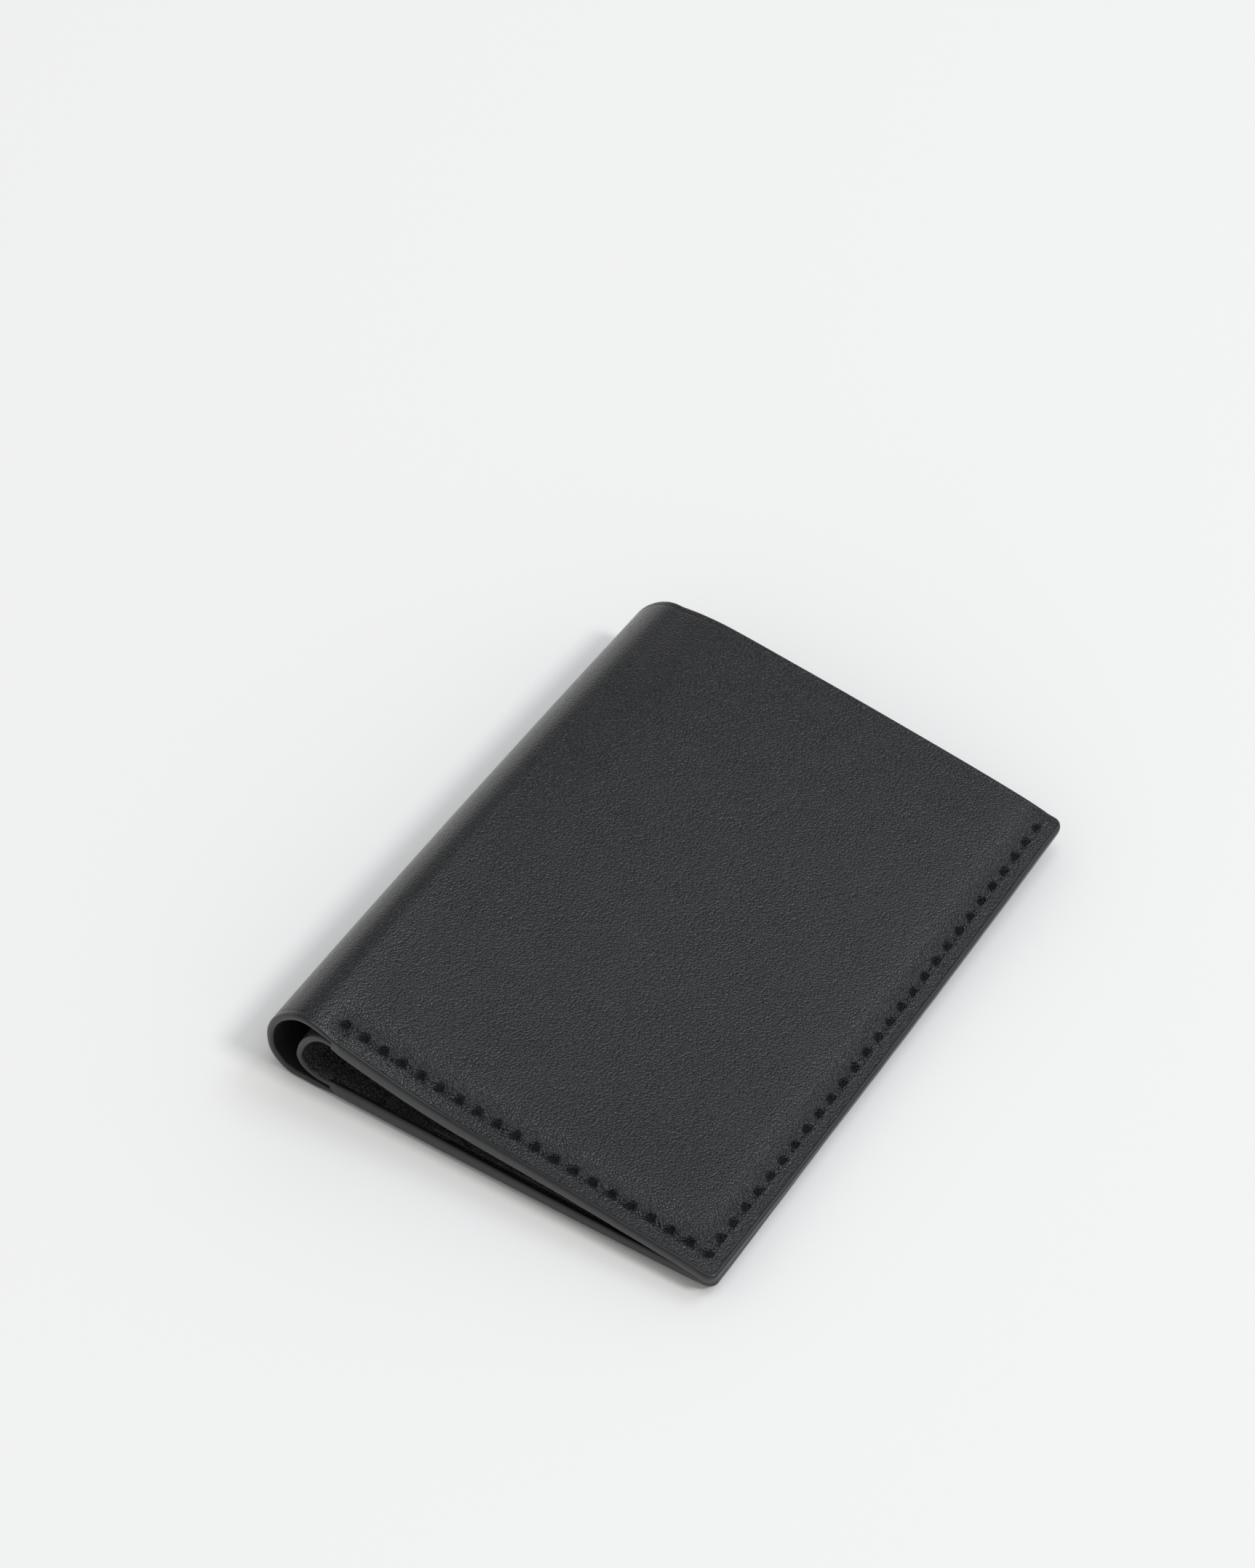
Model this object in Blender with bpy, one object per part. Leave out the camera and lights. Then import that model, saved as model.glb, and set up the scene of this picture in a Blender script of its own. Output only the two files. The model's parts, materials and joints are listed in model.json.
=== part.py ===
# A slim portrait bifold wallet, closed and lying on its back cover.
#
# X runs from the fold to the open edge, Y along the fold from the sewn bottom end to the open top end,
# and Z up. The origin is the bottom centre of the closed wallet. Everything is in metres.
#
# The two covers are mirror images about the plane that halves the closed wedge. The outer leather,
# its lining and the inner leather each run from one cover to the other round the fold, and they are
# parted at the fold lines into strips, so that the fold turns on four parallel hinge lines.

import math

import bmesh
import bpy
from mathutils import Matrix, Vector

# Driving dimensions
HEIGHT = 0.1022  # along the fold
FOLD_RADIUS = 0.0082  # outside of the folded outer leather
COVER_REACH = 0.0716  # fold's centre line to the open edge
CLOSED_WEDGE = math.radians(8.4)  # angle between the covers when closed
CORNER_RADIUS = 0.0016  # the covers' corners at the open edge
PLAN_BLOCK = 0.02  # half the depth of the blocks that trim the sheets to the cover's outline

# Layers of a cover, each from its outer face to its inner face, measured from the cover's outside
SHELL = (0.0, 0.0010)
BOARD = (0.0011, 0.0014)
LINING = (0.0015, 0.00165)
LINER = (0.0019, 0.00225)
LINER_AT_FOLD = 0.0029  # inner face of the liner where it is not yet skived for the pockets
SKIVE = (0.0100, 0.0125)  # where the liner thins, from the fold's centre line
INNER_POCKET = (0.00235, 0.0027)
OUTER_POCKET = (0.0028, 0.00315)
LINING_INSET = 0.0010  # from the edge of the cover, for this sheet and the ones below
LINER_INSET = 0.0003
POCKET_INSET = 0.0010
BOARD_INSET = 0.0055
BOARD_START = 0.0060  # from the fold's centre line
BOARD_CORNER = 0.0018

# The fold
HINGES = 4
LINER_SETBACK = 0.0035  # how far the liner's loop stands back from the shell's loop
STRIP_GAP = 0.0003
ARC_STEPS = 7

# Seams
SEAM_MARGIN = 0.0030  # from the open edge to the stitches
SEAM_BOTTOM = 0.0034  # from the bottom end to the stitches
SEAM_START = 0.0040  # first stitch of the bottom row, from the fold's centre line
SEAM_TOP = 0.0477  # last stitch beside the open edge
SEAM_CORNER = 0.0006  # radius of the thread's turn
SEAM_CORNER_STEPS = 4
GROOVE_WIDTH = 0.0009
GROOVE_DEPTH = 0.00055
THREAD = 0.00044  # needle thread, in the groove outside
BOBBIN = 0.00025  # bobbin thread, on the pockets inside
THREAD_CLEARANCE = 0.00005
THREAD_ROUNDNESS = 2

# Card pockets: lips parallel to the fold, cards go in from the fold side
INNER_LIP = 0.0130
OUTER_LIP = 0.0220
LIP_STRIP = 0.0110  # the wide part of the inner pocket's T
POCKET_NECK = 0.0065  # how far the narrow part of the T stands in from the ends
LIP_CLIMB = 0.0016  # where the bobbin thread climbs onto the outer pocket
INNER_POCKET_END = 0.0570
OUTER_POCKET_STEP = (0.0585, 0.0670)  # where the outer pocket comes down onto the liner
OUTER_POCKET_END = 0.0702

WELD_DISTANCE = 1e-7
SHARP_ANGLE = math.radians(30)

HALF = HEIGHT / 2
FOLD_SWEEP = math.pi + CLOSED_WEDGE
HINGE_TURN = FOLD_SWEEP / HINGES
FOLD_CENTRE = Vector((0.0, FOLD_RADIUS))
LINER_RADIUS = FOLD_RADIUS - LINER[0] - LINER_SETBACK * math.sin(CLOSED_WEDGE / 2)
LINER_CENTRE = FOLD_CENTRE + LINER_SETBACK * Vector(
    (math.cos(CLOSED_WEDGE / 2), -math.sin(CLOSED_WEDGE / 2))
)
# The hinge lines stand just outside the leather, so that the outside keeps its length as it unrolls.
HINGE_RADIUS = FOLD_RADIUS * (HINGE_TURN / 2) / math.sin(HINGE_TURN / 2)
FRONT_EDGE = COVER_REACH * math.cos(CLOSED_WEDGE) + FOLD_RADIUS * math.sin(CLOSED_WEDGE)
TO_ORIGIN = Vector(((FOLD_RADIUS - FRONT_EDGE) / 2, 0, 0))

BLACK_LEATHER = ("black_leather", (0.030, 0.032, 0.034), 0.48)
INNER_LEATHER = ("inner_leather", (0.022, 0.023, 0.025), 0.52)
LINING_CLOTH = ("lining_cloth", (0.012, 0.012, 0.013), 0.90)
STIFF_BOARD = ("stiff_board", (0.16, 0.14, 0.12), 0.85)
BLACK_THREAD = ("black_thread", (0.010, 0.010, 0.011), 0.45)


def clear_scene():
    for obj in list(bpy.data.objects):
        bpy.data.objects.remove(obj)


def new_collection(name):
    collection = bpy.data.collections.new(name)
    bpy.context.scene.collection.children.link(collection)
    return collection


def material(look):
    name, colour, roughness = look
    made = bpy.data.materials.get(name)
    if made:
        return made
    made = bpy.data.materials.new(name)
    made.use_nodes = True
    surface = made.node_tree.nodes["Principled BSDF"]
    surface.inputs["Base Color"].default_value = (*colour, 1.0)
    surface.inputs["Roughness"].default_value = roughness
    surface.inputs["Metallic"].default_value = 0.0
    return made


def round_the_fold(angle):
    """Unit vector from a loop's centre at this angle round the fold: 0 is down, a half turn is up."""
    return Vector((-math.sin(angle), -math.cos(angle)))


def arc(centre, radius, start, end, steps=ARC_STEPS):
    """Points on a circle in the X-Z plane, both ends included."""
    turn = (end - start) / steps
    return [centre + radius * round_the_fold(start + turn * i) for i in range(steps + 1)]


def rounded_plan(x_low, x_high, y_low, y_high, radius):
    """Outline of a panel in plan, with round corners at the open edge only."""
    points = [(x_low, y_low)]
    for centre_y, start in ((y_low + radius, -math.pi / 2), (y_high - radius, 0.0)):
        for i in range(ARC_STEPS + 1):
            angle = start + i * math.pi / 2 / ARC_STEPS
            x = x_high - radius + radius * math.cos(angle)
            points.append((x, centre_y + radius * math.sin(angle)))
    points.append((x_low, y_high))
    return points


def curve_object(name, points, cyclic, dimensions):
    curve = bpy.data.curves.new(name, "CURVE")
    curve.dimensions = dimensions
    spline = curve.splines.new("POLY")
    spline.points.add(len(points) - 1)
    for knot, place in zip(spline.points, points):
        knot.co = (*place, 1.0) if len(place) == 3 else (*place, 0.0, 1.0)
    spline.use_cyclic_u = cyclic
    obj = bpy.data.objects.new(name, curve)
    HELPERS.objects.link(obj)
    return obj


def mesh_of(obj):
    """The object's evaluated shape as a mesh of its own in world space, with the caps welded on."""
    bpy.context.view_layer.update()
    graph = bpy.context.evaluated_depsgraph_get()
    mesh = bpy.data.meshes.new_from_object(obj.evaluated_get(graph))
    mesh.transform(obj.matrix_world)
    weld = bmesh_of(mesh)
    bmesh.ops.remove_doubles(weld, verts=weld.verts, dist=WELD_DISTANCE)
    bmesh.ops.recalc_face_normals(weld, faces=weld.faces)
    weld.to_mesh(mesh)
    weld.free()
    return mesh


def bmesh_of(mesh):
    made = bmesh.new()
    made.from_mesh(mesh)
    return made


def plate(outline, low, high):
    """A flat sheet with this outline in plan, between two heights."""
    flat = curve_object("outline", outline, True, "2D")
    flat.data.fill_mode = "BOTH"
    flat.data.extrude = (high - low) / 2
    flat.location = (0, 0, (low + high) / 2)
    mesh = mesh_of(flat)
    bpy.data.objects.remove(flat)
    return mesh


def prism(outline, y_low=-HALF, y_high=HALF):
    """A sheet with this section in the X-Z plane, run along the fold."""
    section = curve_object("section", outline, True, "2D")
    section.data.fill_mode = "BOTH"
    section.data.extrude = (y_high - y_low) / 2
    section.rotation_euler = (math.pi / 2, 0, 0)
    section.location = (0, (y_low + y_high) / 2, 0)
    mesh = mesh_of(section)
    bpy.data.objects.remove(section)
    return mesh


def tube(path, diameter):
    line = curve_object("path", path, False, "3D")
    line.data.bevel_depth = diameter / 2
    line.data.bevel_resolution = THREAD_ROUNDNESS
    line.data.use_fill_caps = True
    mesh = mesh_of(line)
    bpy.data.objects.remove(line)
    return mesh


def combined(mesh, tool, operation):
    """The mesh cut by, or kept inside, another one."""
    body = bpy.data.objects.new("body", mesh)
    cutter = bpy.data.objects.new("cutter", tool)
    for obj in (body, cutter):
        HELPERS.objects.link(obj)
    cut = body.modifiers.new(operation, "BOOLEAN")
    cut.operation = operation
    cut.solver = "EXACT"
    cut.object = cutter
    made = mesh_of(body)
    bpy.data.objects.remove(body)
    bpy.data.objects.remove(cutter)
    return made


def stepped_sheet(steps, thickness):
    """Section of a sheet whose outer face runs through these (x, z) points."""
    upper = [(x, z + thickness) for x, z in reversed(steps)]
    return list(steps) + upper


def strip_angles(number):
    """Where strip 1, 2 or 3 of the fold starts and ends, as angles round the fold."""
    half_gap = STRIP_GAP / 2 / FOLD_RADIUS
    start = (number - 0.5) * HINGE_TURN
    return start + half_gap, start + HINGE_TURN - half_gap


def strip(centre, outside, inside, number):
    """A strip of a bent sheet between two hinge lines."""
    start, end = strip_angles(number)
    outline = arc(centre, outside, start, end) + arc(centre, inside, end, start)
    return prism(outline)


def bent_panel(centre, outside, inside, flat_section):
    """A cover's sheet: its flat part, and the fold up to the first hinge line."""
    end = strip_angles(0)[1]
    return prism(arc(centre, inside, end, 0.0) + flat_section + arc(centre, outside, 0.0, end))


def cover_plan(inset):
    """A block whose outline is the cover's, this far inside its edges; it trims the corners."""
    outline = rounded_plan(
        -2 * FOLD_RADIUS, COVER_REACH - inset, -HALF + inset, HALF - inset, CORNER_RADIUS
    )
    return plate(outline, -PLAN_BLOCK, PLAN_BLOCK)


def seam_column():
    """Where the stitches beside the open edge stand."""
    return COVER_REACH - SEAM_MARGIN


def seam_row():
    """Where the stitches along the bottom end stand."""
    return -HALF + SEAM_BOTTOM


def groove_cutter():
    """An L that follows the seam, deep enough to lay the needle thread below the leather's face."""
    side = GROOVE_WIDTH / 2
    x_out, x_in = seam_column() + side, seam_column() - side
    y_out, y_in = seam_row() - side, seam_row() + side
    x_start, y_end = SEAM_START - side, SEAM_TOP + side
    outline = [
        (x_start, y_out), (x_out, y_out), (x_out, y_end), (x_in, y_end), (x_in, y_in), (x_start, y_in),
    ]
    return plate(outline, -GROOVE_DEPTH, GROOVE_DEPTH)


def shell_mesh():
    inside = FOLD_RADIUS - SHELL[1]
    flat = [(COVER_REACH, SHELL[1]), (COVER_REACH, SHELL[0])]
    mesh = bent_panel(FOLD_CENTRE, FOLD_RADIUS, inside, flat)
    mesh = combined(mesh, cover_plan(0.0), "INTERSECT")
    return combined(mesh, groove_cutter(), "DIFFERENCE")


def lining_mesh():
    reach = COVER_REACH - LINING_INSET
    flat = [(reach, LINING[1]), (reach, LINING[0])]
    mesh = bent_panel(FOLD_CENTRE, FOLD_RADIUS - LINING[0], FOLD_RADIUS - LINING[1], flat)
    return combined(mesh, cover_plan(LINING_INSET), "INTERSECT")


def board_mesh():
    outline = rounded_plan(
        BOARD_START,
        COVER_REACH - BOARD_INSET,
        -HALF + BOARD_INSET,
        HALF - BOARD_INSET,
        BOARD_CORNER,
    )
    return plate(outline, *BOARD)


def liner_mesh():
    """Inner leather of a cover: thick beside the fold, and skived where the pockets lie on it."""
    thickness = LINER_AT_FOLD - LINER[0]
    reach = COVER_REACH - LINER_INSET
    flat = [
        (SKIVE[0], LINER_AT_FOLD),
        (SKIVE[1], LINER[1]),
        (reach, LINER[1]),
        (reach, LINER[0]),
    ]
    mesh = bent_panel(LINER_CENTRE, LINER_RADIUS, LINER_RADIUS - thickness, flat)
    return combined(mesh, cover_plan(LINER_INSET), "INTERSECT")


def inner_pocket_mesh():
    """T-shaped: only its lip is wide enough to be caught in the end seams."""
    wide, narrow = HALF - POCKET_INSET, HALF - POCKET_NECK
    shoulder = INNER_LIP + LIP_STRIP
    outline = [
        (INNER_LIP, -wide), (shoulder, -wide), (shoulder, -narrow), (INNER_POCKET_END, -narrow),
        (INNER_POCKET_END, narrow), (shoulder, narrow), (shoulder, wide), (INNER_LIP, wide),
    ]
    return plate(outline, *INNER_POCKET)


def outer_pocket_mesh():
    """Lies over the inner pocket, then steps down onto the liner before the seam."""
    steps = [
        (OUTER_LIP, OUTER_POCKET[0]),
        (OUTER_POCKET_STEP[0], OUTER_POCKET[0]),
        (OUTER_POCKET_STEP[1], INNER_POCKET[0]),
        (OUTER_POCKET_END, INNER_POCKET[0]),
    ]
    mesh = prism(stepped_sheet(steps, OUTER_POCKET[1] - OUTER_POCKET[0]))
    return combined(mesh, cover_plan(COVER_REACH - OUTER_POCKET_END), "INTERSECT")


def seam_path(row_heights, column_height):
    """The L of a seam thread: heights along the bottom row, a round corner, then up the open edge."""
    x_seam, y_seam = seam_column(), seam_row()
    path = [(x, y_seam, z) for x, z in row_heights]
    for i in range(SEAM_CORNER_STEPS + 1):
        angle = i * math.pi / 2 / SEAM_CORNER_STEPS
        x = x_seam - SEAM_CORNER * (1 - math.sin(angle))
        path.append((x, y_seam + SEAM_CORNER * (1 - math.cos(angle)), column_height))
    path.append((x_seam, SEAM_TOP, column_height))
    return path


def needle_thread_mesh():
    height = THREAD / 2 + THREAD_CLEARANCE
    return tube(seam_path([(SEAM_START, height)], height), THREAD)


def bobbin_thread_mesh():
    """Rides over the liner, the inner pocket's lip and the outer pocket."""
    above = BOBBIN / 2 + THREAD_CLEARANCE
    row = [
        (SEAM_START, LINER_AT_FOLD + above),
        (OUTER_LIP - LIP_CLIMB, LINER_AT_FOLD + above),
        (OUTER_LIP - LIP_CLIMB / 2, OUTER_POCKET[1] + above),
        (OUTER_POCKET_STEP[0], OUTER_POCKET[1] + above),
        (OUTER_POCKET_STEP[1], INNER_POCKET[1] + above),
    ]
    return tube(seam_path(row, INNER_POCKET[1] + above), BOBBIN)


def mirrored(mesh):
    """The same sheet in the front cover: reflected in the plane that halves the closed wedge."""
    half = CLOSED_WEDGE / 2
    normal = Vector((math.sin(half), 0.0, math.cos(half)))
    centre = Vector((FOLD_CENTRE.x, 0.0, FOLD_CENTRE.y))
    reflection = Matrix.Identity(3)
    for row in range(3):
        for column in range(3):
            reflection[row][column] -= 2 * normal[row] * normal[column]
    copy = mesh.copy()
    copy.transform(
        Matrix.Translation(centre) @ reflection.to_4x4() @ Matrix.Translation(-centre)
    )
    copy.flip_normals()
    return copy


def hinge_line(number):
    """A point on hinge line 1 to 4, in the wallet's own frame."""
    place = FOLD_CENTRE + HINGE_RADIUS * round_the_fold((number - 0.5) * HINGE_TURN)
    return Vector((place.x, 0.0, place.y)) + TO_ORIGIN


def make_frames():
    """One empty for each rigid body, on the hinge line it turns on, chained from the back cover."""
    names = ["back_cover", "spine_1", "spine_2", "spine_3", "front_cover"]
    frames, places = {}, {}
    for number, name in enumerate(names):
        empty = bpy.data.objects.new("frame_" + name, None)
        WALLET.objects.link(empty)
        places[name] = hinge_line(number) if number else Vector((0, 0, 0))
        if number:
            empty.parent = frames[names[number - 1]]
            empty.location = places[name] - places[names[number - 1]]
        frames[name] = empty
    return frames, places


def add(name, mesh, body, look):
    """Puts a finished sheet into the wallet, on the frame of the body that carries it."""
    mesh.transform(Matrix.Translation(TO_ORIGIN - PLACES[body]))
    mesh.name = name
    mesh.materials.clear()
    mesh.materials.append(material(look))
    mesh.shade_smooth()
    mesh.set_sharp_from_angle(angle=SHARP_ANGLE)
    obj = bpy.data.objects.new(name, mesh)
    WALLET.objects.link(obj)
    obj.parent = FRAMES[body]
    return obj


def build_covers():
    sheets = [
        ("shell", shell_mesh(), BLACK_LEATHER),
        ("stiffener_board", board_mesh(), STIFF_BOARD),
        ("shell_lining", lining_mesh(), LINING_CLOTH),
        ("liner", liner_mesh(), INNER_LEATHER),
        ("inner_card_pocket", inner_pocket_mesh(), INNER_LEATHER),
        ("outer_card_pocket", outer_pocket_mesh(), INNER_LEATHER),
        ("needle_thread", needle_thread_mesh(), BLACK_THREAD),
        ("bobbin_thread", bobbin_thread_mesh(), BLACK_THREAD),
    ]
    for name, mesh, look in sheets:
        add("front_" + name, mirrored(mesh), "front_cover", look)
        add("back_" + name, mesh, "back_cover", look)


def build_fold():
    liner_inside = LINER_RADIUS - (LINER_AT_FOLD - LINER[0])
    layers = [
        ("shell_spine", FOLD_CENTRE, FOLD_RADIUS, FOLD_RADIUS - SHELL[1], BLACK_LEATHER),
        ("lining_spine", FOLD_CENTRE, FOLD_RADIUS - LINING[0], FOLD_RADIUS - LINING[1], LINING_CLOTH),
        ("liner_spine", LINER_CENTRE, LINER_RADIUS, liner_inside, INNER_LEATHER),
    ]
    for name, centre, outside, inside, look in layers:
        for number in range(1, HINGES):
            mesh = strip(centre, outside, inside, number)
            add(f"{name}_{number}", mesh, f"spine_{number}", look)


clear_scene()
WALLET = new_collection("bifold_wallet")
HELPERS = new_collection("helpers")
FRAMES, PLACES = make_frames()
build_covers()
build_fold()
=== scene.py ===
import json
import math

import bmesh
import bpy
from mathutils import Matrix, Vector, noise
from mathutils.geometry import delaunay_2d_cdt


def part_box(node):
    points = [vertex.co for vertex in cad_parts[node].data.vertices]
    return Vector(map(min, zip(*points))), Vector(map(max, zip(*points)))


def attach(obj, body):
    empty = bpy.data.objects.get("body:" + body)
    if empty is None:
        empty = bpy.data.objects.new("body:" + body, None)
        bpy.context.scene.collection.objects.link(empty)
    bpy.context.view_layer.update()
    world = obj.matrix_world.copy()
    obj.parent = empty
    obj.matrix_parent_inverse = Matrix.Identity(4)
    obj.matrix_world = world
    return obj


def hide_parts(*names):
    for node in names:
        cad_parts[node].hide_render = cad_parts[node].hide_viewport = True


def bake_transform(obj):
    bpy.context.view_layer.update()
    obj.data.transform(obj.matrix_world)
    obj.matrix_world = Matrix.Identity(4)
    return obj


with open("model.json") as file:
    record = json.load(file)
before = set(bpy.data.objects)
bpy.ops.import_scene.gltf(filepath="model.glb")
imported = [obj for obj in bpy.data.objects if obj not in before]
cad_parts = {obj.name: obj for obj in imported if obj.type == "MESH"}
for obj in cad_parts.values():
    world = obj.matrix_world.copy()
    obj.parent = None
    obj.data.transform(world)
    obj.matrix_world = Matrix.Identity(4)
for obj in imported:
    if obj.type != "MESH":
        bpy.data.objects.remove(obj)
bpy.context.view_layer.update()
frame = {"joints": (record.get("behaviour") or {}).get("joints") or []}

mm = 0.001

# The wallet's own sizes, read off the frame, in millimetres.
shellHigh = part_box("back_shell")[1]
halfHeight = shellHigh.y / mm
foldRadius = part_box("front_shell")[1].z / 2 / mm
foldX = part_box("shell_spine_2")[0].x / mm + foldRadius
reach = shellHigh.x / mm - foldX
hingeTurn = math.radians(frame["joints"][0]["range_deg"][1])
foldSweep = len(frame["joints"]) * hingeTurn
wedge = foldSweep - math.pi
foldCentre = Vector((foldX, foldRadius))


# Small helpers for smooth shapes

def fade(value, start, end):
    t = min(1.0, max(0.0, (value - start) / (end - start)))
    return t * t * (3 - 2 * t)


def hump(value, width):
    return math.exp(-(value / width) ** 2)


def spread(start, end, step):
    # evenly spaced values from start to end, both included
    count = max(1, round(abs(end - start) / step))
    return [start + (end - start) * i / count for i in range(count + 1)]


def mirrored(x, z):
    # into the front cover: reflected in the plane that halves the closed wedge
    normal = Vector((math.sin(wedge / 2), math.cos(wedge / 2)))
    point = Vector((x, z))
    return point - 2 * normal.dot(point - foldCentre) * normal


# Where the layers of the wallet run

# Heights of the front cover above its flat place, at u from the fold: bottom end, middle and top end
bow = {
    "bottom": [(0, -0.5), (8, -1.2), (20, -1.5), (35, -1.45), (52, -0.9), (68.6, -0.4)],
    "middle": [(0, 0.0), (34, -0.4), (68.6, -0.85)],
    "top": [(0, -1.7), (4, -0.7), (9, 0.0), (20, 0.45), (35, 0.85), (52, 1.1), (68.6, 1.05)],
    "droop": 0.9, "droopAt": 22.0, "droopWidth": 14.0, "droopFrom": 46.0,
}
bowHalf = 50  # the bow is given at this distance from the middle
# How the back cover lies under it
under = {"backEnds": 0.60, "backTop": 0.45, "inset": 0.7, "side": 0.8, "sideTilt": 0.7, "sideTop": 0.5}


def through(table, value):
    # a smooth curve through rows of (place, number)
    last = len(table) - 1
    if value <= table[0][0] or value >= table[last][0]:
        return table[0 if value <= table[0][0] else last][1]
    k = max(i for i in range(last) if table[i][0] <= value)
    (a, fromA), (b, toB) = table[k], table[k + 1]
    t = (value - a) / (b - a)
    before, after = table[max(0, k - 1)], table[min(last, k + 2)]
    leave = (toB - before[1]) / (b - before[0]) * (b - a)
    arrive = (after[1] - fromA) / (after[0] - a) * (b - a)
    return (fromA * (1 + 2 * t) * (1 - t) ** 2 + leave * t * (1 - t) ** 2
            + toB * t * t * (3 - 2 * t) - arrive * t * t * (1 - t))


def frontLift(u, v):
    t = v / bowHalf
    bottom, middle, top = (through(bow[key], u) for key in ("bottom", "middle", "top"))
    droop = bow["droop"] * hump(u - bow["droopAt"], bow["droopWidth"])
    droop *= fade(-v, bow["droopFrom"], halfHeight)
    return middle + t * (top - bottom) / 2 + t * t * ((top + bottom) / 2 - middle) - droop


def coverPoint(side, u, v, depth):
    # u runs from the fold to the open edge, depth from the outer face inwards
    if side == "front":
        x, z = mirrored(foldX + u, depth)
        z += frontLift(u, v)
    else:
        t, s = v / bowHalf, max(0.0, u / reach)
        low, high = max(0.0, -t), max(0.0, t)
        x = foldX + u - s * s * (under["side"] + under["sideTilt"] * t + under["sideTop"] * high ** 2)
        z = max(0.0, depth) + s * s * (under["backEnds"] * low ** 2 + under["backTop"] * high ** 2)
        v += under["inset"] * (s * low) ** 2
    return Vector((x, v, z)) * mm


# How the loops at the fold stand off a true circle: degrees round from the back cover, aside, up
sway = {
    "shellBottom": [(0, 0, 0), (30, -0.3, -0.6), (55, -0.2, -0.35), (80, 0.6, 0), (105, 1.1, 0),
                    (130, 1.2, -0.1), (150, 0.9, -0.15), (170, 0.3, -0.05), (188.4, 0, 0)],
    "shellTop": [(0, 0, 0), (30, -0.7, -0.45), (55, -0.8, -0.45), (80, -0.1, -0.5), (105, 0.9, -0.75),
                 (130, 1.3, -0.65), (150, 1.1, -0.5), (170, 0.6, -0.2), (188.4, 0, 0)],
    "linerBottom": [(0, 0, 0), (40, -0.4, -0.2), (65, 0, 0), (90, 0.9, 0.1), (120, 1.3, 0),
                    (150, 1.0, 0), (175, 0.3, 0), (188.4, 0, 0)],
    "linerTop": [(0, 0, 0), (40, -0.4, -0.2), (90, 0.2, -0.3), (130, 1.0, -0.4), (160, 0.6, -0.2),
                 (188.4, 0, 0)],
}


def makeLayer(name, setback, outside):
    # the flat part begins at the setback from the fold
    centre = foldCentre + Vector((setback, -setback * math.tan(wedge / 2)))
    swings = [
        [[(row[0], row[axis]) for row in sway[name + end]] for axis in (1, 2)]
        for end in ("Bottom", "Top")
    ]
    return {"start": setback, "radius": centre.y - outside, "centre": centre, "swings": swings}


linerTop, linerSetback = 1.75, 3.5
shellLayer = makeLayer("shell", 0.0, 0.0)
linerLayer = makeLayer("liner", linerSetback * math.cos(wedge / 2), linerTop)


clearance = 0.02  # between the loop and the table


def layerPoint(layer, side, u, v, depth):
    # past the flat part, u goes on round the fold; depth is from the cover's outside
    if u >= layer["start"]:
        return coverPoint(side, u, v, depth)
    angle = (layer["start"] - u) / layer["radius"]
    if side == "front":
        angle = foldSweep - angle
    swing = math.pi * angle / foldSweep
    share = (v / halfHeight + 1) / 2
    aside, up = (
        (1 - share) * through(layer["swings"][0][axis], math.degrees(angle))
        + share * through(layer["swings"][1][axis], math.degrees(angle))
        for axis in (0, 1)
    )
    r = layer["centre"].y - depth
    x = layer["centre"].x - r * math.sin(angle) + aside
    z = layer["centre"].y - r * math.cos(angle) + up
    z += frontLift(layer["start"], v) * (1 - math.cos(swing)) / 2
    return Vector((x, v, max(z, clearance + depth))) * mm


def cutAt(layer, number):
    # where the layer is parted: halfway between two hinge lines
    return layer["start"] - layer["radius"] * hingeTurn * number


# The seam: one row along the bottom end, one column up the open edge

seam = {
    "margin": 3.0, "bottom": 3.4, "start": 4.0, "top": halfHeight - 3.4, "rowStitches": 19,
    "columnStitches": 28, "holes": {1: (0.74, 0.50, 0.56), -1: (0.76, 0.38, 0.30)}, "hole": 0.85,
    "holeShift": 0.14,
}
seamU, seamV = reach - seam["margin"], -halfHeight + seam["bottom"]
rowPitch = (seamU - seam["start"]) / seam["rowStitches"]
columnPitch = (seam["top"] - seamV) / seam["columnStitches"]


def seamOffsets(u, v):
    # distance inside the row and inside the column, and the place along each in stitches
    row, column = v - seamV, seamU - u
    return row, column, (u - seam["start"]) / rowPitch, (v - seamV) / columnPitch


def holeDip(along, across, side):
    # slanted oval hole at the whole numbers of along; side is 1 in the row and -1 in the column
    near = (along - round(along)) * rowPitch
    longHalf, shortHalf, slant = seam["holes"][side]
    turned = math.cos(slant) * near + side * math.sin(slant) * across
    other = math.cos(slant) * across - side * math.sin(slant) * near
    return math.exp(-((turned / longHalf) ** 2 + (other / shortHalf) ** 2) ** 2)


# The padding beside the seam, and what the stitches do to it
relief = {
    "margin": 0.60, "rise": 0.08, "riseSpan": (0.8, 2.4), "crown": 0.25, "crownFold": 10.0, "crownTop": 12.0,
    "fall": 0.62, "fallLength": 2.8, "lip": 0.10, "lipLength": 0.55, "edge": -0.28, "scallop": 0.95,
    "bite": 0.58, "stepOut": 0.14, "stepIn": 0.26, "puff": 0.12, "puffAt": 0.7, "puffWidth": 0.5,
    "groove": 0.22, "grooveShift": 0.14, "grooveWidth": 0.24, "runOut": 0.35, "band": 2.2,
    "columnFrom": 1.7, "rowFrom": 3.2, "rowTo": 0.6, "sag": 0.05, "sagU": 19, "sagV": 23, "sagSlice": 3.1,
    "deepest": 1.16,
}
pressedLine = {"depth": 0.07, "inset": 1.15, "width": 0.2}
innerFace = {"upper": 1.28, "overBoard": 0.34, "fold": (3.0, 6.0), "edge": (3.5, 6.5)}


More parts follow.
